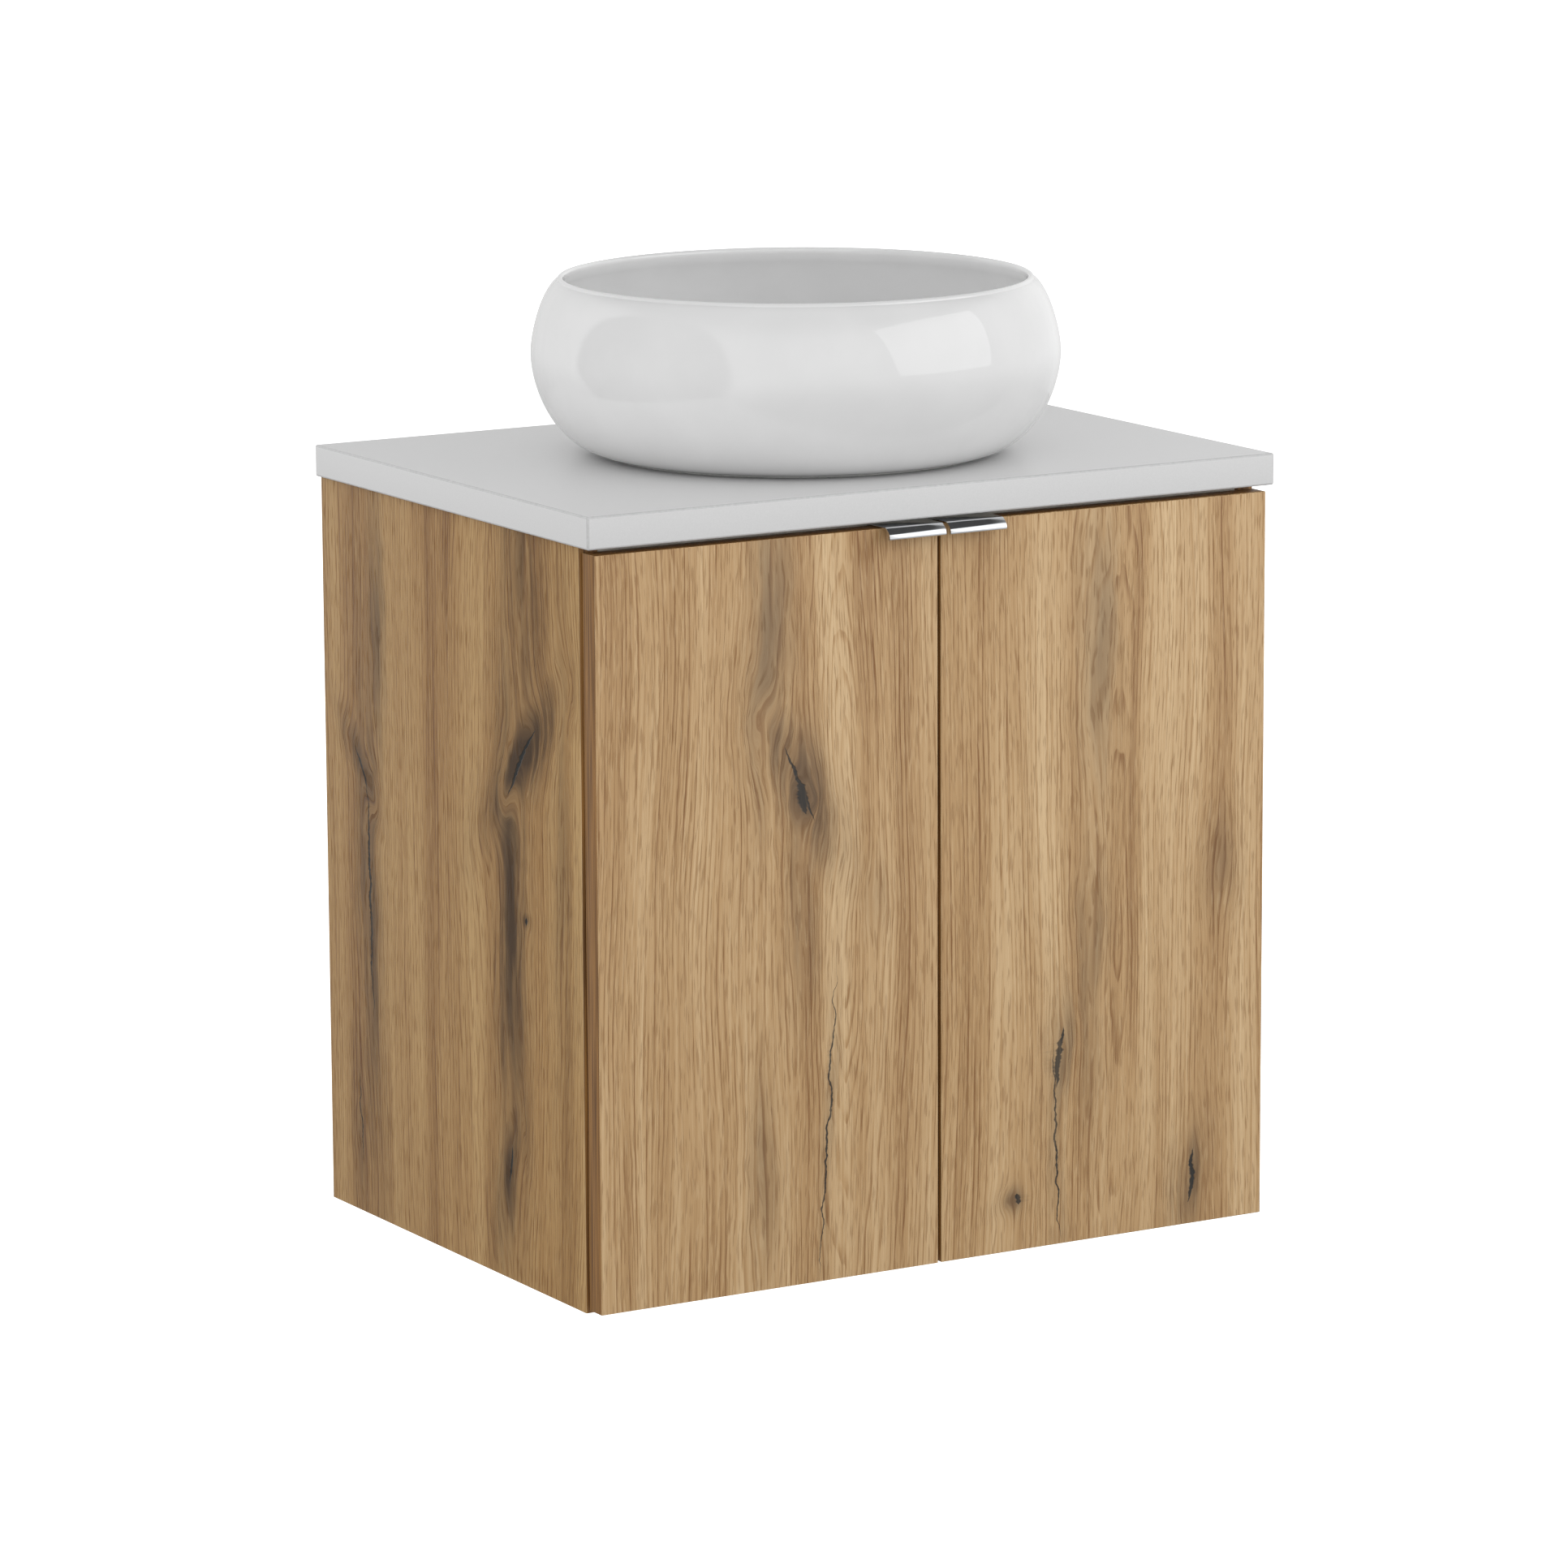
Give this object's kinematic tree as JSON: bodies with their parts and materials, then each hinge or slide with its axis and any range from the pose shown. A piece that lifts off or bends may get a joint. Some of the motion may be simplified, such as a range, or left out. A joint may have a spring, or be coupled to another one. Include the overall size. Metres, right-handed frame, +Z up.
{
  "type": "vessel sink on vanity",
  "caption": "Wall-hung two-door oak vanity unit with a white worktop and a round ceramic counter-top basin, with waste, trap, cup hinges and wall fixing.",
  "frame": {"origin": "on the wall plane, at the middle of the unit's width, level with its underside", "axes": "+X to the right for someone facing the unit, +Y into the wall, +Z up"},
  "size_m": [0.61, 0.454, 0.7479],
  "materials": {
    "oak_decor": "satin",
    "carcass_board": "satin",
    "worktop_white": "satin",
    "glazed_ceramic": "gloss",
    "silicone": "satin",
    "chrome": "polished",
    "rubber": "matte",
    "white_plastic": "matte",
    "zinc": "satin"
  },
  "bodies": {
    "case": {"side_panel_left": "oak_decor", "side_panel_right": "oak_decor", "bottom_panel": "carcass_board", "front_top_rail": "carcass_board", "rear_top_rail": "carcass_board", "rear_bottom_rail": "carcass_board", "shelf": "carcass_board", "worktop": "worktop_white", "basin": "glazed_ceramic", "basin_seal": "silicone", "waste_body": "chrome", "waste_back_nut": "chrome", "trap_inlet_nut": "chrome", "trap_inlet_tube": "chrome", "trap_body": "chrome", "trap_cup": "chrome", "trap_outlet_nut": "chrome", "outlet_pipe": "chrome", "wall_rosette": "chrome", "waste_washer": "rubber", "plug_cartridge": "white_plastic", "hanger_left": "white_plastic", "hanger_right": "white_plastic", "wall_rail": "zinc", "wall_screw_left": "zinc", "wall_screw_right": "zinc", "hanger_hook_left": "zinc", "hanger_hook_right": "zinc", "shelf_pin_left_front": "zinc", "shelf_pin_left_rear": "zinc", "shelf_pin_right_front": "zinc", "shelf_pin_right_rear": "zinc", "hinge_plate_left_low": "zinc", "hinge_plate_left_high": "zinc", "hinge_plate_right_low": "zinc", "hinge_plate_right_high": "zinc", "hinge_arm_left_low": "zinc", "hinge_arm_left_high": "zinc", "hinge_arm_right_low": "zinc", "hinge_arm_right_high": "zinc"},
    "hinge_links_left": {"hinge_link_left_low": "zinc", "hinge_link_left_high": "zinc"},
    "hinge_links_right": {"hinge_link_right_low": "zinc", "hinge_link_right_high": "zinc"},
    "door_left": {"door_left": "oak_decor", "handle_left": "chrome", "handle_screw_left_inner": "zinc", "handle_screw_left_outer": "zinc", "hinge_cup_left_low": "zinc", "hinge_cup_left_high": "zinc"},
    "door_right": {"door_right": "oak_decor", "handle_right": "chrome", "handle_screw_right_inner": "zinc", "handle_screw_right_outer": "zinc", "hinge_cup_right_low": "zinc", "hinge_cup_right_high": "zinc"},
    "waste_plug": {"waste_plug": "chrome"}
  },
  "joints": [
    {"name": "hinge_links_left_swing", "type": "hinge", "parent": "case", "child": "hinge_links_left", "pos_m": [-0.2735, -0.422, 0.29], "axis": [0, 0, 1], "range_deg": [0, 45]},
    {"name": "door_left_swing", "type": "hinge", "parent": "hinge_links_left", "child": "door_left", "pos_m": [-0.2885, -0.426, 0.29], "axis": [0, 0, -1], "range_deg": [0, 150]},
    {"name": "hinge_links_right_swing", "type": "hinge", "parent": "case", "child": "hinge_links_right", "pos_m": [0.2735, -0.422, 0.29], "axis": [0, 0, -1], "range_deg": [0, 45]},
    {"name": "door_right_swing", "type": "hinge", "parent": "hinge_links_right", "child": "door_right", "pos_m": [0.2885, -0.426, 0.29], "axis": [0, 0, 1], "range_deg": [0, 150]},
    {"name": "waste_plug_travel", "type": "slide", "parent": "case", "child": "waste_plug", "axis": [0, 0, 1], "range_m": [0, 0.008]}
  ],
  "couplings": [
    {"joint": "hinge_links_left_swing", "follows": "door_left_swing", "ratio": 0.3},
    {"joint": "hinge_links_right_swing", "follows": "door_right_swing", "ratio": 0.3}
  ]
}
